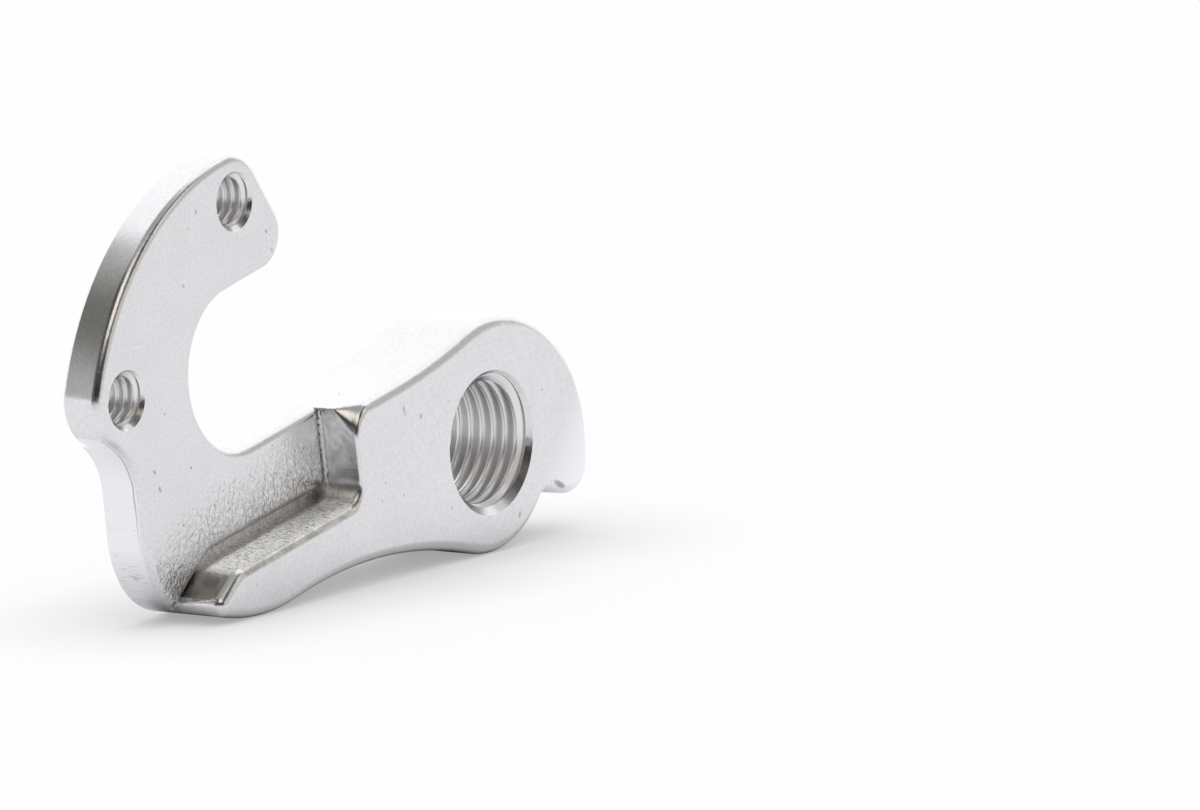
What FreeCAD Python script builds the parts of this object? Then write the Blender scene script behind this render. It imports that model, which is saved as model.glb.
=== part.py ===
import FreeCAD, Part
import math
import os

# Rear derailleur hanger: one forged and tumbled piece of aluminium. Its hook goes round
# the wheel's axle, against the inner side of the frame's right hand dropout.
# X runs along the part towards the derailleur, Z runs up, and Y runs from the outer
# side (the one that faces away from the wheel) into the part. All sizes in millimetres.
# The origin is the middle of the derailleur's thread. Depths are given from the outer face
# of the boss. The part stands on two round bumps of its lower edge, the boss and the foot.

# Threads: nominal diameter and pitch, and the mouth of the countersink at both ends. The
# bores are drilled to the thread's inner diameter.
BOLT_THREAD = 10.0
BOLT_PITCH = 1.0
BOLT_SINK = 10.5
FIXING_THREAD = 4.0
FIXING_PITCH = 0.7
FIXING_SINK = 4.2
THREAD_HEIGHT = 1.0825

# Thickness, front to back
BOSS_THICK = 7.4
SEAT_DEPTH = 3.2
PLATE_THICK = 3.2
LEG_THICK = 3.7

# Axle slot: its centre seen from the derailleur bolt, its radius and the way it opens
AXLE_X = -25.7
AXLE_Z = 8.8
SLOT_RADIUS = 5.7
SLOT_ANGLE = 12.2

# Threaded holes that fix the hook to the frame, seen from the axle, and the land of metal
# round each
TOP_FIXING_X = -0.1
TOP_FIXING_Z = 11.7
LOW_FIXING_X = -13.2
LOW_FIXING_Z = -0.4
FIXING_LAND = 3.3

# Hook over the axle: its outer curve, and the nose that closes over the slot's mouth
HOOK_RADIUS = 19.9
NOSE_DISTANCE = 4.7
NOSE_RADIUS = 2.5

# Leg below the hook: the hollow under the lower fixing, and the toe
NECK_RADIUS = 5.4
NECK_ANGLE = 243.0
TOE_RADIUS = 6.2
TOE_ANGLE = 254.0

# Lower edge: the foot, the shallow belly and the round underside of the boss
FOOT_X = -27.9
FOOT_RADIUS = 17.3
BELLY_RADIUS = 44.0
BOSS_FOOT_RADIUS = 8.1

# Upper part of the boss, the hollow of the arm's upper edge, and the stop tab for the
# derailleur's angle adjuster
BOSS_X = 1.4
BOSS_Z = -2.1
BOSS_RADIUS = 11.1
HOLLOW_RADIUS = 58.0
HOLLOW_ANGLE = 110.4
TAB_RADIUS = 2.3
TAB_ANGLE = -5.6
TAB_ROOT_RADIUS = 0.5
TAB_ROOT_ANGLE = -37.3

# Shoulder that the frame's dropout butts against: an upright wall near the boss, a long
# wall above the foot, and the slope where the seat runs out through the lower edge
WALL_X = -15.9
WALL_LEAN = 7.5
CORNER_Z = -1.75
LEDGE_LENGTH = 15.2
LEDGE_ANGLE = 10.5
RUNOUT_ANGLE = 40.0
CORNER_RADIUS = 1.6
RUNOUT_RADIUS = 2.5

# Relief groove at the foot of the ledge, narrower down the slope, and the rounded lip of
# the seat beside it
GROOVE_WIDTH = 0.75
GROOVE_END_WIDTH = 0.12
GROOVE_DEPTH = 0.8
LIP_ROUND = 0.7

# Levels of the back: the arm starts at a line straight down from the slot, and the leg at
# a line that turns left from there to the neck. Both are seen from the axle.
ARM_BACK_ANGLE = 250.0
LEG_BACK_ANGLE = 238.0
LEG_BACK_DISTANCE = 8.3
LEG_BACK_TURN = 161.0

# Tumbled edges, the crisper front edge of the milled wall, and the broken edges of the back
BOSS_ROUND = 0.8
WALL_ROUND = 0.3
SEAT_ROUND = 0.6
CORNER_ROUND = 0.85
BACK_CHAMFER = 0.4

# The upright corner above the wall, from the front face inwards: depth and round
WALL_TOP_ROUNDS = [(0.0, 2.7), (2.0, 0.1)]

# A length that leaves the part from anywhere in it, what a cut runs past the metal, and a
# length too small to matter
REACH = 60.0
OVER = 1.0
NEAR = 1e-4


def polar(centre, distance, degrees):
    a = math.radians(degrees)
    return (centre[0] + distance * math.cos(a), centre[1] + distance * math.sin(a))


def touching(a, a_distance, b, b_distance):
    """The point at the given distances from a and b, on the right of the way from a to b."""
    dx, dz = b[0] - a[0], b[1] - a[1]
    apart = math.hypot(dx, dz)
    along = (apart ** 2 + a_distance ** 2 - b_distance ** 2) / (2 * apart)
    across = math.sqrt(a_distance ** 2 - along ** 2)
    ux, uz = dx / apart, dz / apart
    return (a[0] + along * ux + across * uz, a[1] + along * uz - across * ux)


def crossing(p, p_way, q, q_way):
    """Where the line through p in the direction p_way meets the line through q."""
    a, b = math.radians(p_way), math.radians(q_way)
    along = ((q[0] - p[0]) * math.sin(b) - (q[1] - p[1]) * math.cos(b)) / math.sin(b - a)
    return polar(p, along, p_way)


def point(p, y):
    return FreeCAD.Vector(p[0], y, p[1])


def line(a, b):
    return Part.LineSegment(point(a, 0), point(b, 0)).toShape()


def arc(centre, radius, start, end, side):
    """Arc from start to end, clockwise when side is 1 and the other way when it is -1."""
    a0 = math.atan2(start[1] - centre[1], start[0] - centre[0])
    a1 = math.atan2(end[1] - centre[1], end[0] - centre[0])
    turn = (side * (a0 - a1)) % (2 * math.pi)
    middle = a0 - side * turn / 2
    mid = (centre[0] + radius * math.cos(middle), centre[1] + radius * math.sin(middle))
    return Part.Arc(point(start, 0), point(mid, 0), point(end, 0)).toShape()


def tangent_outline(rounds):
    """Closed outline that passes a list of circles clockwise, like a belt round pulleys.
    A side of 1 leaves the circle inside the outline, and -1 leaves it outside."""
    joints = []
    for here, there in zip(rounds, rounds[1:] + rounds[:1]):
        (c0, r0, s0), (c1, r1, s1) = here, there
        dx, dz = c1[0] - c0[0], c1[1] - c0[1]
        lean = (s0 * r0 - s1 * r1) / math.hypot(dx, dz)
        way = math.atan2(dz, dx) - math.asin(max(-1.0, min(1.0, lean)))
        left = (-math.sin(way), math.cos(way))
        joints.append([(c[0] + s * r * left[0], c[1] + s * r * left[1])
                       for c, r, s in (here, there)])
    edges = []
    for i, (start, end) in enumerate(joints):
        if math.dist(start, end) < NEAR:
            joints[i] = [end, end]
    for (centre, radius, side), before, after in zip(rounds, joints[-1:] + joints[:-1], joints):
        edges.append(arc(centre, radius, before[1], after[0], side))
        if math.dist(*after) > NEAR:
            edges.append(line(*after))
    return Part.Wire(edges)


def rounded_path(corners):
    """Closed path through (corner, radius) pairs, where a radius of 0 is a sharp corner."""
    cut = []
    for i, (corner, radius) in enumerate(corners):
        before, after = corners[i - 1][0], corners[(i + 1) % len(corners)][0]
        to_before = math.atan2(before[1] - corner[1], before[0] - corner[0])
        to_after = math.atan2(after[1] - corner[1], after[0] - corner[0])
        opening = (to_after - to_before + math.pi) % (2 * math.pi) - math.pi
        bisector = math.degrees(to_before + opening / 2)
        half = abs(opening) / 2
        centre = polar(corner, radius / math.sin(half), bisector)
        cut.append((polar(corner, radius / math.tan(half), math.degrees(to_before)),
                    polar(centre, -radius, bisector),
                    polar(corner, radius / math.tan(half), math.degrees(to_after)), radius))
    edges = []
    for i, (start, mid, end, radius) in enumerate(cut):
        if radius > 0:
            edges.append(Part.Arc(point(start, 0), point(mid, 0), point(end, 0)).toShape())
        edges.append(line(end, cut[(i + 1) % len(cut)][0]))
    return Part.Wire(edges)


def slab(wire, front, back):
    """Solid between two depths with the given outline."""
    face = Part.Face(wire)
    face.translate(FreeCAD.Vector(0, front, 0))
    return face.extrude(FreeCAD.Vector(0, back - front, 0))


def middle(edge):
    return edge.valueAt((edge.FirstParameter + edge.LastParameter) / 2)


def is_over(p, wire):
    """Whether a point lies on a wire, seen from the front."""
    return Part.Vertex(p.x, 0, p.z).distToShape(wire)[0] < NEAR


def edges_at(solid, depth):
    """The edges that lie flat at one depth."""
    return [e for e in solid.Edges
            if all(abs(p.y - depth) < NEAR for p in [middle(e)] + [v.Point for v in e.Vertexes])]


def sharp_corners(solid, cut_wire):
    """The upright edges that a cut has left where it crosses the outline, lowest first."""
    found = []
    for e in solid.Edges:
        a, b = e.Vertexes[0].Point, e.Vertexes[-1].Point
        upright = math.hypot(a.x - b.x, a.z - b.z) < NEAR and abs(a.y - b.y) > NEAR
        if upright and is_over(a, outline) and is_over(a, cut_wire):
            found.append(e)
    return sorted(found, key=lambda e: e.Vertexes[0].Point.z)


def rounded_edges(solid, edges, radius_at):
    """Fillet that has at each vertex the radius which radius_at gives for it."""
    document = FreeCAD.newDocument("rounding")
    base = document.addObject("Part::Feature", "base")
    base.Shape = solid
    fillet = document.addObject("Part::Fillet", "fillet")
    fillet.Base = base
    fillet.Edges = [(i, radius_at(e.Vertexes[0].Point), radius_at(e.Vertexes[-1].Point))
                    for i, e in enumerate(solid.Edges, 1) if any(e.isSame(f) for f in edges)]
    document.recompute()
    rounded = fillet.Shape.copy()
    FreeCAD.closeDocument(document.Name)
    return rounded


def threaded_bore(centre, front, back, thread, pitch, sink):
    """What is taken out for a thread: the core hole with a 45 degree sink at both ends."""
    core = (thread - THREAD_HEIGHT * pitch) / 2
    mouth = sink / 2
    lead = mouth - core
    axis = FreeCAD.Vector(0, 1, 0)
    hole = Part.makeCylinder(core, back - front, point(centre, front), axis)
    front_sink = Part.makeCone(mouth + OVER, core, lead + OVER, point(centre, front - OVER), axis)
    back_sink = Part.makeCone(core, mouth + OVER, lead + OVER, point(centre, back - lead), axis)
    return hole.fuse([front_sink, back_sink])


bolt = (0.0, 0.0)
axle = (AXLE_X, AXLE_Z)
top_fixing = (AXLE_X + TOP_FIXING_X, AXLE_Z + TOP_FIXING_Z)
low_fixing = (AXLE_X + LOW_FIXING_X, AXLE_Z + LOW_FIXING_Z)

# The outline's circles, clockwise from the hook's tip. Most touch their neighbour, and
# straight runs join the rest: the tip to the nose, the slot's two sides, the stop face
# under the tab and the leg.
nose = polar(polar(axle, NOSE_DISTANCE, SLOT_ANGLE), SLOT_RADIUS + NOSE_RADIUS, SLOT_ANGLE + 90)
boss = (BOSS_X, BOSS_Z)
hollow = polar(boss, BOSS_RADIUS + HOLLOW_RADIUS, HOLLOW_ANGLE)
tab = polar(boss, BOSS_RADIUS - TAB_RADIUS, TAB_ANGLE)
tab_root = polar(bolt, BOSS_FOOT_RADIUS + TAB_ROOT_RADIUS, TAB_ROOT_ANGLE)
foot = (FOOT_X, FOOT_RADIUS - BOSS_FOOT_RADIUS)
belly = touching(foot, FOOT_RADIUS + BELLY_RADIUS, bolt, BOSS_FOOT_RADIUS + BELLY_RADIUS)
toe = polar(foot, FOOT_RADIUS - TOE_RADIUS, TOE_ANGLE)
neck = polar(low_fixing, FIXING_LAND + NECK_RADIUS, NECK_ANGLE)
hook = touching(low_fixing, HOOK_RADIUS - FIXING_LAND, top_fixing, HOOK_RADIUS - FIXING_LAND)

outline = tangent_outline([
    (top_fixing, FIXING_LAND, 1),
    (nose, NOSE_RADIUS, 1),
    (axle, SLOT_RADIUS, -1),
    (hollow, HOLLOW_RADIUS, -1),
    (boss, BOSS_RADIUS, 1),
    (tab, TAB_RADIUS, 1),
    (tab_root, TAB_ROOT_RADIUS, -1),
    (bolt, BOSS_FOOT_RADIUS, 1),
    (belly, BELLY_RADIUS, -1),
    (foot, FOOT_RADIUS, 1),
    (toe, TOE_RADIUS, 1),
    (neck, NECK_RADIUS, -1),
    (low_fixing, FIXING_LAND, 1),
    (hook, HOOK_RADIUS, 1),
])


def shoulder(wall_shift, ledge_shift, slope_shift):
    """The seat's share of the front: left of the wall and above the ledge and the slope,
    each of these moved towards the seat by its own amount."""
    corner = (WALL_X, CORNER_Z)
    wall_way, ledge_way, slope_way = 90 + WALL_LEAN, 180 + LEDGE_ANGLE, 180 + RUNOUT_ANGLE
    bend = polar(corner, LEDGE_LENGTH, ledge_way)
    on_wall = polar(corner, wall_shift, wall_way + 90)
    on_ledge = polar(corner, ledge_shift, ledge_way - 90)
    on_slope = polar(bend, slope_shift, slope_way - 90)
    corner = crossing(on_wall, wall_way, on_ledge, ledge_way)
    bend = crossing(on_ledge, ledge_way, on_slope, slope_way)
    return rounded_path([
        (polar(corner, REACH, wall_way), 0), (corner, CORNER_RADIUS), (bend, RUNOUT_RADIUS),
        (polar(bend, REACH, slope_way), 0), ((-2 * REACH, -REACH), 0), ((-2 * REACH, REACH), 0)])


def hook_side(bends):
    """The hook's share of the back, from the slot's mouth round to a line from the slot."""
    return rounded_path([
        (axle, 0), *bends, ((-2 * REACH, -REACH), 0), ((-2 * REACH, REACH), 0),
        (polar(axle, REACH, SLOT_ANGLE), 0)])


seat_wire = shoulder(0, 0, 0)
lip_wire = shoulder(-LIP_ROUND, GROOVE_WIDTH, GROOVE_END_WIDTH)
leg_bend = polar(axle, LEG_BACK_DISTANCE, LEG_BACK_ANGLE)
leg_back_wire = hook_side([(leg_bend, RUNOUT_RADIUS), (polar(leg_bend, REACH, LEG_BACK_TURN), 0)])
arm_back_wire = hook_side([(polar(axle, REACH, ARM_BACK_ANGLE), 0)])

groove_floor = SEAT_DEPTH + GROOVE_DEPTH
seat_back = SEAT_DEPTH + PLATE_THICK
leg_back = SEAT_DEPTH + LEG_THICK

# Plate of the hook. Its seat for the dropout stops short of the ledge with a round lip, and
# goes on under the wall.
seat = slab(outline, SEAT_DEPTH, groove_floor).common(slab(lip_wire, 0, groove_floor))
plate = slab(outline, groove_floor, seat_back).fuse(seat).removeSplitter()
lip = [e for e in edges_at(plate, SEAT_DEPTH) if is_over(middle(e), lip_wire)]
plate = plate.makeFillet(LIP_ROUND, lip)
plate = plate.makeFillet(SEAT_ROUND, edges_at(plate, SEAT_DEPTH))
plate = plate.makeChamfer(BACK_CHAMFER, edges_at(plate, seat_back))

# Arm and boss in front of the seat, in layers that each have their share of the corner above
# the wall
layers = []
for (front, front_round), (back, back_round) in zip(
        WALL_TOP_ROUNDS, WALL_TOP_ROUNDS[1:] + [(groove_floor, WALL_TOP_ROUNDS[-1][1])]):
    layer = slab(outline, front, back).cut(slab(seat_wire, front - OVER, back + OVER))
    layer = layer.makeFillet(CORNER_ROUND, sharp_corners(layer, seat_wire)[:1])
    layers.append(layer.makeFillet(front_round, back_round, sharp_corners(layer, seat_wire)))
arm = layers[0].fuse(layers[1:]).removeSplitter()
front_edges = edges_at(arm, 0)
wall_edge = max([e for e in front_edges if is_over(middle(e), seat_wire)], key=lambda e: middle(e).z)
wall_ends = [v.Point for v in wall_edge.Vertexes]
arm = rounded_edges(arm, front_edges, lambda p: WALL_ROUND if p in wall_ends else BOSS_ROUND)
hanger = plate.fuse(arm)

# Leg, arm and boss behind, with a round corner where the lower end of each step comes out
for wire, depth in ((leg_back_wire, leg_back), (arm_back_wire, BOSS_THICK)):
    body = slab(outline, groove_floor, depth).cut(slab(wire, 0, depth + OVER))
    body = body.makeFillet(CORNER_ROUND, sharp_corners(body, wire)[:1])
    hanger = hanger.fuse(body.makeChamfer(BACK_CHAMFER, edges_at(body, depth)))

hanger = hanger.removeSplitter().cut([
    threaded_bore(bolt, 0, BOSS_THICK, BOLT_THREAD, BOLT_PITCH, BOLT_SINK),
    threaded_bore(top_fixing, SEAT_DEPTH, seat_back, FIXING_THREAD, FIXING_PITCH, FIXING_SINK),
    threaded_bore(low_fixing, SEAT_DEPTH, seat_back, FIXING_THREAD, FIXING_PITCH, FIXING_SINK),
])

hanger.translate(FreeCAD.Vector(0, -BOSS_THICK / 2, 0))

os.makedirs("parts", exist_ok=True)
hanger.exportStep("parts/hanger.step")
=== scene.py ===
import math

import bmesh
import bpy
from mathutils import Matrix, Vector, noise


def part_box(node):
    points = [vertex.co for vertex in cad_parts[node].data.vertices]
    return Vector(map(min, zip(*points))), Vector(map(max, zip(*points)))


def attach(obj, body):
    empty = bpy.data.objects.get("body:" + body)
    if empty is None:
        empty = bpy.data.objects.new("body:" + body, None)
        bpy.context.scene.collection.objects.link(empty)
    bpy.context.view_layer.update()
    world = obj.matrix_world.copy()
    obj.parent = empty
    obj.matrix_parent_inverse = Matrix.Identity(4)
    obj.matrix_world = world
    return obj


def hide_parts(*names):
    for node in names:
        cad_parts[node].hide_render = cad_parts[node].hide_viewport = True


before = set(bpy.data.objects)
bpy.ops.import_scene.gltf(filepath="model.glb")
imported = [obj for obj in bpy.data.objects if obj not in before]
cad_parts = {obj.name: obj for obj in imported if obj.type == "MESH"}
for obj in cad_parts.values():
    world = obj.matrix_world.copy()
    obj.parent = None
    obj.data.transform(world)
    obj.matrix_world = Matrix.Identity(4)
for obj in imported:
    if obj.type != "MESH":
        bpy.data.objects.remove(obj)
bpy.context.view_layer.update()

MM = 0.001
scene = bpy.context.scene
scene.view_settings.view_transform = "Standard"


def linear(hex_colour):
    """A six digit sRGB hex colour as linear red, green, blue and alpha."""
    parts = [int(hex_colour[i:i + 2], 16) / 255 for i in (0, 2, 4)]
    return [p / 12.92 if p <= 0.04045 else ((p + 0.055) / 1.055) ** 2.4 for p in parts] + [1.0]


def add(tree, kind, links=None, **settings):
    """Adds a node. Settings are its properties, and links its sockets' values or sources."""
    node = tree.nodes.new(kind)
    for name, value in settings.items():
        setattr(node, name, value)
    for socket, value in (links or {}).items():
        if isinstance(value, bpy.types.NodeSocket):
            tree.links.new(value, node.inputs[socket])
        else:
            node.inputs[socket].default_value = value
    return node


def new_tree(owner):
    owner.use_nodes = True
    owner.node_tree.nodes.clear()
    return owner.node_tree


# Places on the part, seen from the front, in millimetres

# Corners of the shoulder: the upright wall, the ledge and the slope run between them
WALL_TOP = (-16.9, 6.0)
CORNER = (-15.9, -1.75)
BEND = (-30.85, -4.52)
SLOPE_END = (-34.7, -7.75)
SHOULDER = ((WALL_TOP, CORNER), (CORNER, BEND), (BEND, SLOPE_END))

# Threaded holes: middle, front and back face, thread diameter and pitch
HOLES = (((0, 0), (-3.7, 3.7), 10, 1.0),
         ((-25.8, 20.5), (-0.5, 2.7), 4, 0.7),
         ((-38.9, 8.4), (-0.5, 2.7), 4, 0.7))

# Nicks on the outer faces: x, z, width, height and turn in degrees
NICKS = ((-30.3, 20.4, 0.3, 0.5, 0), (-32.0, 15.4, 0.35, 0.3, 0), (-8.7, 3.2, 0.5, 0.5, 0),
         (-10.7, 3.9, 0.25, 1.2, 12), (3.3, -5.8, 0.35, 0.7, -20),
         (-22.2, 18.0, 0.4, 0.35, 0), (-21.6, 16.6, 0.35, 0.5, 10),
         (-36.0, 3.0, 0.5, 0.35, 0), (-35.4, 1.7, 0.3, 0.6, 20))
# A streak drawn darker across the tab: x, z, width, height and turn in degrees
TAB_STREAK = (8.5, -4.3, 2.2, 0.6, -24)

# Metal. Patterns are placed from the object's own coordinates, and their sizes are in
# millimetres on the part.


def away_from(tree, place, start, end):
    """How far a point lies on the seat's side of a straight run of the shoulder, in metres."""
    dx, dz = end[0] - start[0], end[1] - start[1]
    length = math.hypot(dx, dz)
    way = (dz / length, 0, -dx / length)
    along = add(tree, "ShaderNodeVectorMath", {0: place, 1: way}, operation="DOT_PRODUCT")
    offset = (way[0] * start[0] + way[2] * start[1]) * MM
    away = add(tree, "ShaderNodeMath", {0: along.outputs["Value"], 1: offset}, operation="SUBTRACT")
    return away.outputs[0]


def spot(tree, place, x, z, width, height, turn):
    """0 in an oval spot on the outer faces and 1 outside it. Sizes in millimetres, and the
    turn in degrees."""
    right_through = 1e6
    moved = add(tree, "ShaderNodeMapping", {"Vector": place, "Location": (x * MM, 0, z * MM),
                                            "Rotation": (0, math.radians(-turn), 0),
                                            "Scale": (width * MM / 2, right_through, height * MM / 2)},
                vector_type="TEXTURE")
    away = add(tree, "ShaderNodeVectorMath", {0: moved.outputs["Vector"]}, operation="LENGTH")
    outside = add(tree, "ShaderNodeMapRange", {"Value": away.outputs["Value"], "From Min": 0.35,
                                               "From Max": 1.0}, interpolation_type="SMOOTHSTEP")
    return outside.outputs["Result"]


def tumbled_aluminium():
    """Forged aluminium, tumbled to a satin sheen: a pale metal with the faintest lilac cast,
    a fine speckle from the tumbling media and a few nicks. Near the shoulder the forging's
    skin, like orange peel, has stayed rough, and there the tone is drawn darker, most in the
    skin's hollows. The speckle is drawn coarser than the real one, so that it shows."""
    material = bpy.data.materials.new("tumbled_aluminium")
    tree = new_tree(material)
    place = add(tree, "ShaderNodeTexCoord").outputs["Object"]
    grain = add(tree, "ShaderNodeTexNoise", {"Vector": place, "Scale": 1 / (0.24 * MM), "Detail": 3.0,
                                             "Roughness": 0.65})
    cloud = add(tree, "ShaderNodeTexNoise", {"Vector": place, "Scale": 1 / (3.5 * MM), "Detail": 3.0})
    skin = add(tree, "ShaderNodeTexNoise", {"Vector": place, "Scale": 1 / (0.4 * MM), "Detail": 3.0,
                                            "Roughness": 0.55, "Distortion": 0.8})
    cells = add(tree, "ShaderNodeTexVoronoi", {"Vector": place, "Scale": 1 / (2.1 * MM), "Randomness": 1.0},
                feature="F1")
    dots = add(tree, "ShaderNodeMapRange", {"Value": cells.outputs["Distance"], "From Min": 0.01,
                                            "From Max": 0.06}, interpolation_type="SMOOTHSTEP")

    # The skin lies on the seat, and fades away from the ledge and the slope
    ledge = away_from(tree, place, CORNER, BEND)
    slope = away_from(tree, place, BEND, SLOPE_END)
    shoulder = add(tree, "ShaderNodeMath", {0: ledge, 1: slope}, operation="MAXIMUM")
    ragged = add(tree, "ShaderNodeMath", {0: cloud.outputs["Fac"], 1: 3.0 * MM, 2: shoulder.outputs[0]},
                 operation="MULTIPLY_ADD")
    parts = add(tree, "ShaderNodeSeparateXYZ", {"Vector": place})
    seat = add(tree, "ShaderNodeMath", {0: parts.outputs["Y"], 1: -1.2 * MM}, operation="GREATER_THAN")
    left = add(tree, "ShaderNodeMath", {0: parts.outputs["X"], 1: -15.4 * MM}, operation="LESS_THAN")
    normal = add(tree, "ShaderNodeNewGeometry").outputs["Normal"]
    facing = add(tree, "ShaderNodeSeparateXYZ", {"Vector": normal})
    outwards = add(tree, "ShaderNodeMapRange", {"Value": facing.outputs["Y"], "From Min": -0.05,
                                                "From Max": -0.5})
    seat_side = add(tree, "ShaderNodeMath", {0: seat.outputs[0], 1: left.outputs[0]}, operation="MULTIPLY")
    on_seat = add(tree, "ShaderNodeMath", {0: seat_side.outputs[0], 1: outwards.outputs["Result"]},
                  operation="MULTIPLY")
    near = add(tree, "ShaderNodeMapRange", {"Value": ragged.outputs[0], "From Min": 1.2 * MM,
                                            "From Max": 4.4 * MM, "To Min": 1.0, "To Max": 0.0},
               interpolation_type="SMOOTHSTEP")
    wide = add(tree, "ShaderNodeMapRange", {"Value": ragged.outputs[0], "From Min": 2.5 * MM,
                                            "From Max": 9.0 * MM, "To Min": 1.0, "To Max": 0.08},
               interpolation_type="SMOOTHSTEP")
    # Near the shoulder the tone is drawn darker, most in the skin's hollows
    darker_near_shoulder = add(tree, "ShaderNodeMath", {0: near.outputs["Result"], 1: on_seat.outputs[0]},
               operation="MULTIPLY")
    peeled = add(tree, "ShaderNodeMath", {0: wide.outputs["Result"], 1: on_seat.outputs[0]},
                 operation="MULTIPLY")
    hollows = add(tree, "ShaderNodeMapRange", {"Value": skin.outputs["Fac"], "From Min": 0.35,
                                               "From Max": 0.65, "To Min": 1.0, "To Max": 0.55})
    shoulder_darkening = add(tree, "ShaderNodeMath", {0: darker_near_shoulder.outputs[0], 1: hollows.outputs["Result"]},
                 operation="MULTIPLY")

    # Nicks and the dark streak across the tab show on the outer half alone. All are 0 inside and 1 outside.
    back_half = add(tree, "ShaderNodeMath", {0: parts.outputs["Y"], 1: 0.0}, operation="GREATER_THAN")
    nicks = dots.outputs["Result"]
    for nick in NICKS:
        on_front = add(tree, "ShaderNodeMath", {0: spot(tree, place, *nick), 1: back_half.outputs[0]},
                       operation="MAXIMUM")
        nicks = add(tree, "ShaderNodeMath", {0: nicks, 1: on_front.outputs[0]},
                    operation="MULTIPLY").outputs[0]
    outside_streak = add(tree, "ShaderNodeMath", {0: spot(tree, place, *TAB_STREAK), 1: back_half.outputs[0]},
              operation="MAXIMUM")

    speckle = add(tree, "ShaderNodeMapRange", {"Value": grain.outputs["Fac"], "From Min": 0.38,
                                               "From Max": 0.62})
    satin = add(tree, "ShaderNodeMix", {"Factor": speckle.outputs["Result"], "A": linear("DCDCDF"),
                                        "B": linear("E4E4E7")}, data_type="RGBA")
    # Painted light: towards the tab the tone grows paler, for the brighter light that falls on it there
    towards_tab = add(tree, "ShaderNodeVectorMath", {0: place, 1: (0.8, 0, -0.6)}, operation="DOT_PRODUCT")
    tab = add(tree, "ShaderNodeMapRange", {"Value": towards_tab.outputs["Value"], "From Min": 6.0 * MM,
                                           "From Max": 11.5 * MM}, interpolation_type="SMOOTHSTEP")
    pale = add(tree, "ShaderNodeMix", {"Factor": tab.outputs["Result"], "A": satin.outputs["Result"],
                                       "B": linear("F2F1F6")}, data_type="RGBA")
    darkened_by_shoulder = add(tree, "ShaderNodeMix", {"Factor": shoulder_darkening.outputs[0], "A": pale.outputs["Result"],
                                       "B": linear("C3C2BF")}, data_type="RGBA")
    streaked = add(tree, "ShaderNodeMix", {"Factor": outside_streak.outputs[0], "A": linear("A6A6A9"),
                                         "B": darkened_by_shoulder.outputs["Result"]}, data_type="RGBA")
    # Nicks and scattered pits are drawn in a darker tone as well as dented
    tone = add(tree, "ShaderNodeMix", {"Factor": nicks, "A": linear("C0BFC1"),
                                       "B": streaked.outputs["Result"]}, data_type="RGBA")
    rough = add(tree, "ShaderNodeMapRange", {"Value": cloud.outputs["Fac"], "From Min": 0.3,
                                             "From Max": 0.7, "To Min": 0.2, "To Max": 0.28})
    fine = add(tree, "ShaderNodeBump", {"Height": grain.outputs["Fac"], "Strength": 1.0,
                                        "Distance": 0.005 * MM})
    nicked = add(tree, "ShaderNodeBump", {"Height": nicks, "Strength": 1.0, "Distance": 0.03 * MM,
                                          "Normal": fine.outputs["Normal"]})
    peel = add(tree, "ShaderNodeBump", {"Height": skin.outputs["Fac"], "Strength": peeled.outputs[0],
                                        "Distance": 0.15 * MM, "Normal": nicked.outputs["Normal"]})
    metal = add(tree, "ShaderNodeBsdfPrincipled", {"Base Color": tone.outputs["Result"], "Metallic": 1.0,
                                                   "Roughness": rough.outputs["Result"],
                                                   "Normal": peel.outputs["Normal"]})
    add(tree, "ShaderNodeOutputMaterial", {"Surface": metal.outputs["BSDF"]})
    return material


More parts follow.
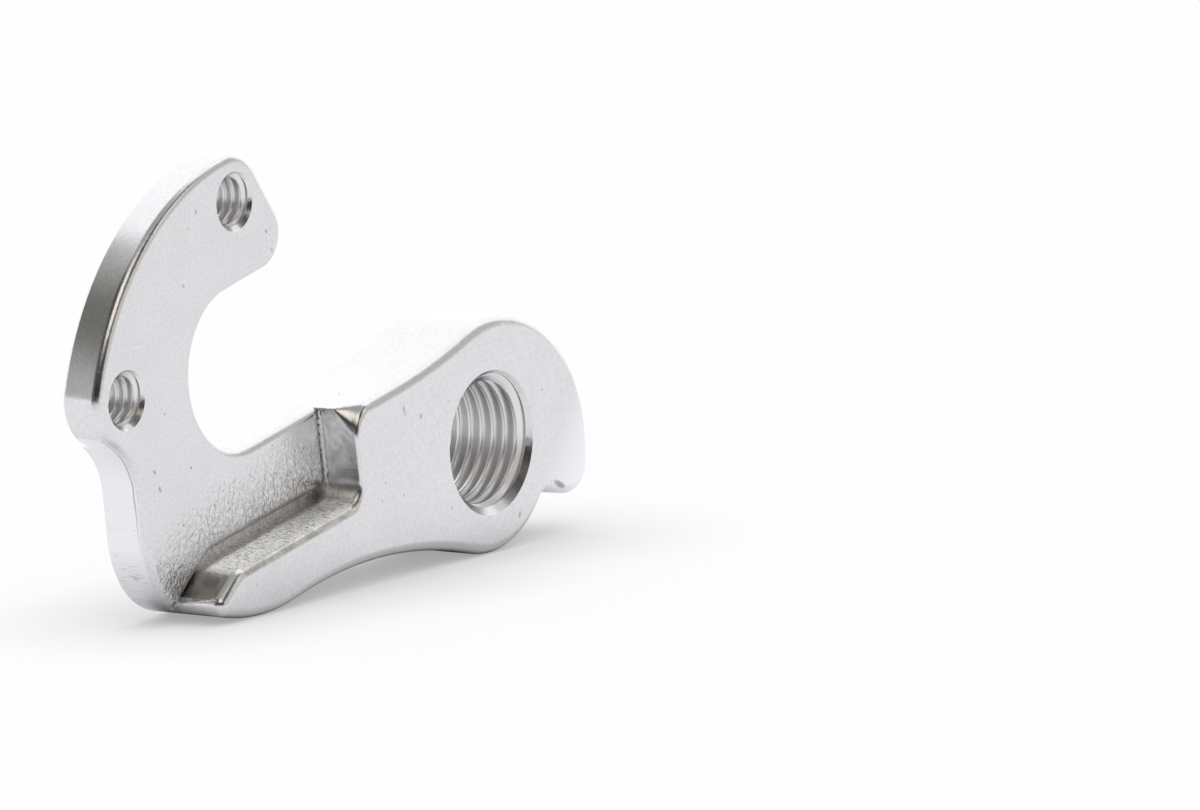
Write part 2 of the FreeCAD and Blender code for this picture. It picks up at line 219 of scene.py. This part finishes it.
def milled_aluminium():
    """The shoulder's walls, milled after the forging: greyer and rougher than the tumbled
    skin, with smears and a fine grain. Tumbling has rolled the ledge over towards its front
    edge, where its torn grain catches the light, and on faces that look up the grain's flecks
    are painted in from grey to white as painted highlights. The run-out slope is painted a
    darker grey, as painted shade. The grain is drawn coarser than the real one and longer
    from front to back, so that it shows on the ledge, which is seen at a low angle."""
    material = bpy.data.materials.new("milled_aluminium")
    tree = new_tree(material)
    place = add(tree, "ShaderNodeTexCoord").outputs["Object"]
    drawn_out = add(tree, "ShaderNodeMapping", {"Vector": place, "Scale": (1.5, 0.6, 1.0)})
    grain = add(tree, "ShaderNodeTexNoise", {"Vector": drawn_out.outputs["Vector"],
                                             "Scale": 1 / (0.24 * MM), "Detail": 3.0, "Roughness": 0.65})
    smear = add(tree, "ShaderNodeTexNoise", {"Vector": place, "Scale": 1 / (1.4 * MM), "Detail": 4.0,
                                             "Roughness": 0.6, "Distortion": 0.7})
    facing = add(tree, "ShaderNodeNewGeometry").outputs["Normal"]
    up = add(tree, "ShaderNodeSeparateXYZ", {"Vector": facing})
    ledge = add(tree, "ShaderNodeMapRange", {"Value": up.outputs["Z"], "From Min": 0.72,
                                             "From Max": 0.96}, interpolation_type="SMOOTHSTEP")
    smeared = add(tree, "ShaderNodeMapRange", {"Value": smear.outputs["Fac"], "From Min": 0.35,
                                               "From Max": 0.65})
    parts = add(tree, "ShaderNodeSeparateXYZ", {"Vector": place})
    slope = add(tree, "ShaderNodeMapRange", {"Value": parts.outputs["X"], "From Min": -30.2 * MM,
                                             "From Max": -31.8 * MM}, interpolation_type="SMOOTHSTEP")
    wall = add(tree, "ShaderNodeMix", {"Factor": smeared.outputs["Result"], "A": linear("E9E8E8"),
                                       "B": linear("BFBDBB")}, data_type="RGBA")
    # Painted highlights: on the ledge the grain's flecks run from grey to pure white
    flecks = add(tree, "ShaderNodeMapRange", {"Value": grain.outputs["Fac"], "From Min": 0.33,
                                              "From Max": 0.49})
    painted_glints = add(tree, "ShaderNodeMix", {"Factor": flecks.outputs["Result"], "A": linear("BCBCB9"),
                                         "B": linear("FFFFFF")}, data_type="RGBA")
    shelf = add(tree, "ShaderNodeMix", {"Factor": ledge.outputs["Result"], "A": wall.outputs["Result"],
                                        "B": painted_glints.outputs["Result"]}, data_type="RGBA")
    # Painted shade: the run-out slope is drawn a darker grey
    run_out_shade = add(tree, "ShaderNodeMix", {"Factor": smeared.outputs["Result"], "A": linear("B6B4B1"),
                                          "B": linear("969491")}, data_type="RGBA")
    tone = add(tree, "ShaderNodeMix", {"Factor": slope.outputs["Result"], "A": shelf.outputs["Result"],
                                       "B": run_out_shade.outputs["Result"]}, data_type="RGBA")

    # The cutter's strokes sweep round a point beside the slope, about 1 mm apart
    sweep = add(tree, "ShaderNodeMapping", {"Vector": place, "Location": (36.5 * MM, 0.5 * MM, 4.5 * MM)})
    strokes = add(tree, "ShaderNodeTexWave", {"Vector": sweep.outputs["Vector"], "Scale": 0.3 / MM,
                                              "Distortion": 4.0, "Detail": 3.0, "Detail Scale": 1.5},
                  wave_type="RINGS", rings_direction="SPHERICAL")

    # The ledge starts to fall away 0.7 mm in front of the part's middle plane, first evenly
    # and then ever more steeply
    beyond = add(tree, "ShaderNodeMath", {0: parts.outputs["Y"], 1: -1.0, 2: -0.7 * MM},
                 operation="MULTIPLY_ADD")
    out = add(tree, "ShaderNodeMath", {0: beyond.outputs[0], 1: 0.0, 2: 0.5 * MM}, operation="SMOOTH_MAX")
    bend = add(tree, "ShaderNodeMath", {0: out.outputs[0], 1: 4.0}, operation="POWER")
    fall = add(tree, "ShaderNodeMath", {0: bend.outputs[0], 1: -9.0e6}, operation="MULTIPLY")
    drop = add(tree, "ShaderNodeMath", {0: out.outputs[0], 1: -0.62, 2: fall.outputs[0]},
               operation="MULTIPLY_ADD")
    rolled = add(tree, "ShaderNodeBump", {"Height": drop.outputs[0], "Strength": ledge.outputs["Result"],
                                          "Distance": 1.0})
    height = add(tree, "ShaderNodeMapRange", {"Value": ledge.outputs["Result"], "To Min": 0.012 * MM,
                                              "To Max": 0.12 * MM})
    torn = add(tree, "ShaderNodeBump", {"Height": grain.outputs["Fac"], "Strength": 1.0,
                                        "Distance": height.outputs["Result"],
                                        "Normal": rolled.outputs["Normal"]})
    waved = add(tree, "ShaderNodeBump", {"Height": smear.outputs["Fac"], "Strength": 1.0,
                                         "Distance": 0.05 * MM, "Normal": torn.outputs["Normal"]})
    stroked = add(tree, "ShaderNodeBump", {"Height": strokes.outputs["Fac"],
                                           "Strength": slope.outputs["Result"],
                                           "Distance": 0.02 * MM, "Normal": waved.outputs["Normal"]})
    metal = add(tree, "ShaderNodeBsdfPrincipled", {"Base Color": tone.outputs["Result"], "Metallic": 1.0,
                                                   "Roughness": 0.26, "Normal": stroked.outputs["Normal"]})
    add(tree, "ShaderNodeOutputMaterial", {"Surface": metal.outputs["BSDF"]})
    return material


def cut_aluminium():
    """Thread flanks as the tap left them: bright bare metal with faint lines along the cut."""
    material = bpy.data.materials.new("cut_aluminium")
    tree = new_tree(material)
    place = add(tree, "ShaderNodeTexCoord").outputs["Object"]
    along = add(tree, "ShaderNodeMapping", {"Vector": place, "Scale": (1, 12, 1)})
    lines = add(tree, "ShaderNodeTexNoise", {"Vector": along.outputs["Vector"], "Scale": 1 / (0.9 * MM),
                                             "Detail": 3.0, "Roughness": 0.6})
    scored = add(tree, "ShaderNodeBump", {"Height": lines.outputs["Fac"], "Strength": 1.0,
                                          "Distance": 0.007 * MM})
    metal = add(tree, "ShaderNodeBsdfPrincipled", {"Base Color": linear("E6E5E6"), "Metallic": 1.0,
                                                   "Roughness": 0.3, "Normal": scored.outputs["Normal"]})
    add(tree, "ShaderNodeOutputMaterial", {"Surface": metal.outputs["BSDF"]})
    return material


def trimmed_aluminium():
    """The leg's outer side, trimmed by a cutter and then tumbled: pale, with short chatter
    marks across its thickness, and a fine dark line of painted shade beside the round of the
    seat, where the trimmed side steps into it."""
    material = bpy.data.materials.new("trimmed_aluminium")
    tree = new_tree(material)
    place = add(tree, "ShaderNodeTexCoord").outputs["Object"]
    parts = add(tree, "ShaderNodeSeparateXYZ", {"Vector": place})
    across = add(tree, "ShaderNodeMapping", {"Vector": place, "Scale": (1, 0.22, 1)})
    chatter = add(tree, "ShaderNodeTexNoise", {"Vector": across.outputs["Vector"], "Scale": 1 / (0.3 * MM),
                                               "Detail": 4.0, "Roughness": 0.6, "Distortion": 0.8})
    patches = add(tree, "ShaderNodeTexNoise", {"Vector": place, "Scale": 1 / (2.2 * MM), "Detail": 2.0})
    where = add(tree, "ShaderNodeMapRange", {"Value": patches.outputs["Fac"], "From Min": 0.48,
                                             "From Max": 0.62, "To Min": 0.1, "To Max": 1.0},
                interpolation_type="SMOOTHSTEP")
    cuts = add(tree, "ShaderNodeMapRange", {"Value": chatter.outputs["Fac"], "From Min": 0.56,
                                            "From Max": 0.66})
    marks = add(tree, "ShaderNodeMath", {0: cuts.outputs["Result"], 1: where.outputs["Result"]},
                operation="MULTIPLY")
    # Painted shade: a fine dark line where the trimmed side steps into the round of the seat
    waver = add(tree, "ShaderNodeMath", {0: patches.outputs["Fac"], 1: 0.3 * MM, 2: parts.outputs["Y"]},
                operation="MULTIPLY_ADD")
    aside = add(tree, "ShaderNodeMath", {0: waver.outputs[0], 1: 0.32 * MM, 2: 0.07 * MM},
                operation="COMPARE")
    upper = add(tree, "ShaderNodeMapRange", {"Value": parts.outputs["Z"], "From Min": -3.0 * MM,
                                             "From Max": 1.0 * MM})
    step_shade = add(tree, "ShaderNodeMath", {0: aside.outputs[0], 1: upper.outputs["Result"]},
                operation="MULTIPLY")
    dark = add(tree, "ShaderNodeMath", {0: marks.outputs[0], 1: step_shade.outputs[0]}, operation="MAXIMUM")
    tone = add(tree, "ShaderNodeMix", {"Factor": dark.outputs[0], "A": linear("EDECF1"),
                                       "B": linear("BFBEC1")}, data_type="RGBA")
    cut = add(tree, "ShaderNodeBump", {"Height": chatter.outputs["Fac"],
                                       "Strength": where.outputs["Result"], "Distance": 0.03 * MM})
    metal = add(tree, "ShaderNodeBsdfPrincipled", {"Base Color": tone.outputs["Result"], "Metallic": 1.0,
                                                   "Roughness": 0.22, "Normal": cut.outputs["Normal"]})
    add(tree, "ShaderNodeOutputMaterial", {"Surface": metal.outputs["BSDF"]})
    return material


# Hanger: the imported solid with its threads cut


def tap(middle, faces, thread, pitch):
    """The helical ridge that cuts a thread: flanks at 60 degrees to each other out to the
    thread's full diameter, and a round where they leave the drilled wall. It starts before
    the front face and ends past the back one. Sizes in millimetres."""
    x, z = middle
    front, back = faces
    steps = 72
    spare_turns = 3
    turns = math.ceil((back - front) / pitch) + spare_turns
    standard_depth = 1.0825 * pitch
    core = (thread - standard_depth) / 2
    half = [(core - 0.35 * pitch, 0.45 * pitch), (core - 0.005 * pitch, 0.45 * pitch),
            (core + 0.01 * pitch, 0.405 * pitch), (core + 0.04 * pitch, 0.362 * pitch),
            (core + 0.1 * pitch, 0.317 * pitch), (thread / 2, 0.0625 * pitch)]
    profile = [(r, -y) for r, y in half] + half[::-1]
    bm = bmesh.new()
    start = front - spare_turns / 2 * pitch
    ring = [bm.verts.new(((x + r) * MM, (start + y) * MM, z * MM)) for r, y in profile]
    face = bm.faces.new(ring)
    bmesh.ops.spin(bm, geom=[face], cent=(x * MM, 0, z * MM), axis=(0, 1, 0),
                   dvec=(0, pitch * MM / steps, 0), angle=math.radians(360 * turns), steps=steps * turns,
                   use_merge=False, use_duplicate=False)
    bmesh.ops.remove_doubles(bm, verts=bm.verts, dist=1e-7)
    bmesh.ops.holes_fill(bm, edges=[e for e in bm.edges if e.is_boundary], sides=0)
    bmesh.ops.recalc_face_normals(bm, faces=bm.faces)
    mesh = bpy.data.meshes.new("tap")
    bm.to_mesh(mesh)
    bm.free()
    piece = bpy.data.objects.new("tap", mesh)
    scene.collection.objects.link(piece)
    return piece


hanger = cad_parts["hanger"]
bm = bmesh.new()
bm.from_mesh(hanger.data)
bmesh.ops.remove_doubles(bm, verts=bm.verts, dist=1e-6)
mesh = bpy.data.meshes.new("hanger_metal")
bm.to_mesh(mesh)
bm.free()
if "custom_normal" in mesh.attributes:
    mesh.attributes.remove(mesh.attributes["custom_normal"])
metal = bpy.data.objects.new("hanger_metal", mesh)
scene.collection.objects.link(metal)
taps = [tap(*hole) for hole in HOLES]
for cutter in taps:
    cut = metal.modifiers.new("tap", "BOOLEAN")
    cut.operation = "DIFFERENCE"
    cut.solver = "EXACT"
    cut.object = cutter
bpy.context.view_layer.update()
cut_mesh = bpy.data.meshes.new_from_object(metal.evaluated_get(bpy.context.evaluated_depsgraph_get()))
metal.modifiers.clear()
metal.data = cut_mesh
for cutter in taps:
    bpy.data.objects.remove(cutter)
cut_mesh.materials.clear()
for material in (tumbled_aluminium(), milled_aluminium(), cut_aluminium(), trimmed_aluminium()):
    cut_mesh.materials.append(material)
TUMBLED, MILLED, CUT, TRIMMED = range(4)


def distance_to(x, z, start, end):
    """Distance from a point to a straight run, seen from the front. Sizes in millimetres."""
    dx, dz = end[0] - start[0], end[1] - start[1]
    share = ((x - start[0]) * dx + (z - start[1]) * dz) / (dx * dx + dz * dz)
    share = max(0.0, min(1.0, share))
    return math.hypot(x - start[0] - share * dx, z - start[1] - share * dz)


def finish_of(centre, normal):
    """Which metal a face shows, from where it lies and the way it faces."""
    x, y, z = centre / MM
    flat = abs(normal.y) >= 0.98
    countersink = 0.69 < abs(normal.y) < 0.73
    for (hole_x, hole_z), _, thread, _ in HOLES:
        in_hole = math.hypot(x - hole_x, z - hole_z) < thread / 2 + 0.01
        if in_hole and not flat and not countersink:
            return CUT
    faces_seat = abs(normal.y) < 0.15 and normal.z > (0.5 if x < -30 else -0.3)
    if y < -0.3 and faces_seat and min(distance_to(x, z, *run) for run in SHOULDER) < 0.7:
        return MILLED
    rim_of_ledge = y < -2.5 and normal.z > 0.25 and -30 < x < -15
    if rim_of_ledge and distance_to(x, z, CORNER, BEND) < 1.1:
        return MILLED
    if x < -35 and z < 6 and abs(normal.y) < 0.1 and normal.x < -0.2:
        return TRIMMED
    return TUMBLED


for polygon in cut_mesh.polygons:
    polygon.use_smooth = True
    polygon.material_index = finish_of(polygon.center, polygon.normal)
cut_mesh.set_sharp_from_angle(angle=math.radians(30))
# Between the threads' flanks a smaller angle already shows as an edge
sides = {}
for polygon in cut_mesh.polygons:
    for key in polygon.edge_keys:
        sides.setdefault(key, []).append(polygon)
for edge in cut_mesh.edges:
    here, there = sides[edge.key][0], sides[edge.key][-1]
    if here.material_index == there.material_index == CUT:
        edge.use_edge_sharp = here.normal.angle(there.normal, 0.0) > math.radians(12)
shade = metal.modifiers.new("even_shading", "WEIGHTED_NORMAL")
shade.keep_sharp = True
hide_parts("hanger")
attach(metal, "root")

# Burrs that the cutter left along the foot of the upright wall and across the end of the slope


def burr(name, start, end, thickness):
    """A thin crinkled strip of torn metal from one point to another. Sizes in millimetres."""
    curve = bpy.data.curves.new(name, "CURVE")
    curve.dimensions = "3D"
    curve.bevel_depth = thickness / 2 * MM
    curve.bevel_resolution = 2
    curve.use_fill_caps = True
    count = 44
    strip = curve.splines.new("POLY")
    strip.points.add(count - 1)
    for i, point in enumerate(strip.points):
        share = i / (count - 1)
        along = Vector(start).lerp(Vector(end), share)
        crinkle = Vector([noise.noise(along * 3.1 + Vector((0, 0, 20 * axis))) for axis in range(3)]) * 0.1
        point.co = [v * MM for v in along + crinkle] + [1.0]
        tapered = min(1.0, 0.2 + 6 * share * (1 - share))
        point.radius = (0.6 + 0.9 * abs(noise.noise(along * 4.3))) * tapered
    source = bpy.data.objects.new(name, curve)
    scene.collection.objects.link(source)
    bpy.context.view_layer.update()
    mesh = bpy.data.meshes.new_from_object(source.evaluated_get(bpy.context.evaluated_depsgraph_get()))
    bpy.data.objects.remove(source)
    mesh.materials.clear()
    mesh.materials.append(torn)
    for polygon in mesh.polygons:
        polygon.use_smooth = True
    piece = bpy.data.objects.new(name, mesh)
    scene.collection.objects.link(piece)
    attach(piece, "root")


# Torn aluminium: bare, bright and so rough that it shines evenly
torn = bpy.data.materials.new("torn_edge")
tree = new_tree(torn)
bare = add(tree, "ShaderNodeBsdfPrincipled", {"Base Color": linear("FAFAF8"), "Metallic": 1.0,
                                              "Roughness": 0.7})
add(tree, "ShaderNodeOutputMaterial", {"Surface": bare.outputs["BSDF"]})
burr("wall_burr", (-16.82, -0.66, 4.6), (-16.1, -0.66, -0.9), 0.4)
burr("slope_burr", (-33.35, -0.5, -6.6), (-32.95, -3.1, -6.25), 0.16)

# Floor, light and camera. From here on, places and sizes are in metres.

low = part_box("hanger")[0].z
floor_mesh = bpy.data.meshes.new("floor")
bm = bmesh.new()
bmesh.ops.create_grid(bm, x_segments=1, y_segments=1, size=3.0,
                      matrix=Matrix.Translation((0, 0, low)))
bm.to_mesh(floor_mesh)
bm.free()
floor = bpy.data.objects.new("floor", floor_mesh)
scene.collection.objects.link(floor)
# White paper: plain white where it is seen or mirrored, with the soft shadow under the part
paper = bpy.data.materials.new("white_paper")
tree = new_tree(paper)
ray = add(tree, "ShaderNodeLightPath")
seen = add(tree, "ShaderNodeMath", {0: ray.outputs["Is Camera Ray"], 1: ray.outputs["Is Glossy Ray"]},
           operation="MAXIMUM")
seen_through = add(tree, "ShaderNodeMath", {0: seen.outputs[0], 1: ray.outputs["Is Transmission Ray"]},
                   operation="MAXIMUM")
share = add(tree, "ShaderNodeMath", {0: seen_through.outputs[0], 1: 0.8}, operation="MULTIPLY")
matt = add(tree, "ShaderNodeBsdfDiffuse", {"Color": linear("F2F1F4")})
open_sky = add(tree, "ShaderNodeAmbientOcclusion", {"Distance": 14 * MM}, samples=8)
shadow = add(tree, "ShaderNodeMath", {0: open_sky.outputs["AO"], 1: 1.2}, operation="POWER")
darkest = add(tree, "ShaderNodeMapRange", {"Value": ray.outputs["Is Camera Ray"], "To Min": 0.0,
                                           "To Max": 0.45})
white = add(tree, "ShaderNodeMapRange", {"Value": shadow.outputs[0], "To Min": darkest.outputs["Result"],
                                         "To Max": 1.0})
glow = add(tree, "ShaderNodeEmission", {"Color": linear("FFFFFF"), "Strength": white.outputs["Result"]})
both = add(tree, "ShaderNodeMixShader", {0: share.outputs[0], 1: matt.outputs[0], 2: glow.outputs[0]})
add(tree, "ShaderNodeOutputMaterial", {"Surface": both.outputs[0]})
floor_mesh.materials.append(paper)

# A plain white studio, a little brighter where metal mirrors it
world = bpy.data.worlds.new("studio")
scene.world = world
tree = new_tree(world)
ray = add(tree, "ShaderNodeLightPath")
seen = add(tree, "ShaderNodeMath", {0: ray.outputs["Is Camera Ray"], 1: ray.outputs["Is Transmission Ray"]},
           operation="MAXIMUM")
plain = add(tree, "ShaderNodeMapRange", {"Value": seen.outputs[0], "To Min": 0.9, "To Max": 1.0})
strength = add(tree, "ShaderNodeMath", {0: ray.outputs["Is Glossy Ray"], 1: 0.37,
                                        2: plain.outputs["Result"]}, operation="MULTIPLY_ADD")
sky = add(tree, "ShaderNodeBackground", {"Color": linear("FFFFFF"), "Strength": strength.outputs[0]})
add(tree, "ShaderNodeOutputWorld", {"Surface": sky.outputs[0]})


def softbox(name, place, target, width, height, brightness):
    """A soft light of even brightness, in the renderer's units, where 1 is white."""
    lamp = bpy.data.lights.new(name, "AREA")
    lamp.shape = "RECTANGLE"
    lamp.size = width
    lamp.size_y = height
    lamp.energy = brightness * math.pi * width * height
    piece = bpy.data.objects.new(name, lamp)
    scene.collection.objects.link(piece)
    piece.location = place
    piece.rotation_euler = (Vector(target) - Vector(place)).to_track_quat("-Z", "Y").to_euler()
    piece.visible_glossy = False


centre = (-0.015, 0, 0.008)
softbox("overhead", (-0.02, 0.05, 0.6), centre, 1.2, 1.2, 0.32)
softbox("back_right", (0.3, 0.5, 0.42), centre, 0.8, 0.55, 0.08)


def only_mirrored(piece):
    """Lets a piece show in the metal's reflections and nowhere else."""
    piece.visible_camera = False
    piece.visible_diffuse = False
    piece.visible_shadow = False


def curved_card(name, start, end, radius, foot, head, tones, brightness=1.0):
    """A sheet bent round the object for its metal to reflect, from one direction to another in
    degrees, between two heights above the floor. Tones go from its foot to its head, as
    (share of the height, tone)."""
    bm = bmesh.new()
    side_x = centre[0] + radius * math.cos(math.radians(start))
    side_y = centre[1] + radius * math.sin(math.radians(start))
    foot_end = bm.verts.new((side_x, side_y, low + foot))
    head_end = bm.verts.new((side_x, side_y, low + head))
    side = bm.edges.new((foot_end, head_end))
    bmesh.ops.spin(bm, geom=[side], cent=centre, axis=(0, 0, 1), angle=math.radians(end - start),
                   steps=24, use_merge=False, use_duplicate=False)
    mesh = bpy.data.meshes.new(name)
    bm.to_mesh(mesh)
    bm.free()
    card = bpy.data.objects.new(name, mesh)
    scene.collection.objects.link(card)
    felt = bpy.data.materials.new(name)
    tree = new_tree(felt)
    place = add(tree, "ShaderNodeTexCoord").outputs["Object"]
    up = add(tree, "ShaderNodeSeparateXYZ", {"Vector": place})
    height = add(tree, "ShaderNodeMapRange", {"Value": up.outputs["Z"], "From Min": low + foot,
                                              "From Max": low + head})
    ramp = add(tree, "ShaderNodeValToRGB", {"Fac": height.outputs["Result"]})
    stops = ramp.color_ramp.elements
    for share, _ in tones[1:-1]:
        stops.new(share)
    for stop, (share, tone) in zip(stops, tones):
        stop.position = share
        stop.color = linear(tone)
    even = add(tree, "ShaderNodeEmission", {"Color": ramp.outputs["Color"], "Strength": brightness})
    add(tree, "ShaderNodeOutputMaterial", {"Surface": even.outputs[0]})
    mesh.materials.append(felt)
    only_mirrored(card)


# The grey sweep at the back left shades the hook's edge. Above it hangs a beam, and a grey
# ceiling over everything. Behind the camera are the dark room and its doorway with a warm
# lamp over it. At the front right a pale reflector and a sheet stand below the edge of the
# ceiling.
curved_card("grey_sweep", 96, 157, 0.35, 0.045, 0.68,
            [(0.0, "BCBCB8"), (0.135, "C2C2BE"), (0.275, "7A7A76"), (0.375, "6A6A64"), (0.55, "A0A09A"),
             (0.72, "C6C6C4"), (1.0, "F2F2F2")])
curved_card("beam", 130, 198, 0.3, 0.29, 0.62, [(0.0, "48484A"), (0.3, "343436"), (1.0, "3A3A3C")])
curved_card("dark_room", 155, 188, 0.5, 0.0, 1.1, [(0.0, "5A5A5B"), (0.3, "5E5E5E"), (1.0, "666665")])
curved_card("dark_doorway", 187, 282, 0.51, 0.0, 0.88, [(0.0, "2C2C2E"), (0.5, "1E1E20"), (1.0, "3A3A3C")])
curved_card("warm_lamp", 199, 243, 0.3, 0.195, 0.6, [(0.0, "FFF7E8"), (1.0, "FFF7E8")], 1.3)
curved_card("warm_lamp_end", 242, 262, 0.29, 0.44, 0.58, [(0.0, "FFF7E8"), (1.0, "FFF7E8")], 1.2)
curved_card("pale_reflector", 257, 300, 0.45, 0.0, 0.27,
            [(0.0, "E0DDD8"), (0.3, "D8D4CD"), (1.0, "DEDAD2")])
curved_card("ceiling_edge", 281, 318, 0.45, 0.42, 0.9, [(0.0, "686765"), (0.5, "646362"), (1.0, "9A9A98")])
curved_card("pale_sheet", 299, 339, 0.44, 0.0, 0.5,
            [(0.0, "F0EFEE"), (0.15, "DCDAD7"), (0.3, "C8C6C2"), (0.8, "CAC8C4"), (1.0, "DCDBD9")])
ceiling_mesh = bpy.data.meshes.new("ceiling")
bm = bmesh.new()
bmesh.ops.create_circle(bm, cap_ends=True, segments=32, radius=0.3,
                        matrix=Matrix.Translation((centre[0] - 0.13, centre[1] - 0.075, 0.62)))
bm.to_mesh(ceiling_mesh)
bm.free()
ceiling = bpy.data.objects.new("ceiling", ceiling_mesh)
scene.collection.objects.link(ceiling)
grey = bpy.data.materials.new("grey_ceiling")
tree = new_tree(grey)
even = add(tree, "ShaderNodeEmission", {"Color": linear("A8A8A6"), "Strength": 1.0})
add(tree, "ShaderNodeOutputMaterial", {"Surface": even.outputs[0]})
ceiling_mesh.materials.append(grey)
only_mirrored(ceiling)

# A long lens at the photograph's viewing angle, nine degrees above the floor
camera = bpy.data.cameras.new("camera")
camera.sensor_width = 36
camera.lens = 271.38
camera.clip_end = 20
viewer = bpy.data.objects.new("camera", camera)
scene.collection.objects.link(viewer)
viewer.location = (-0.526555, -0.370891, 0.102368)
viewer.rotation_euler = [math.radians(v) for v in (81.15663, 1.4532, -56.03696)]
scene.camera = viewer
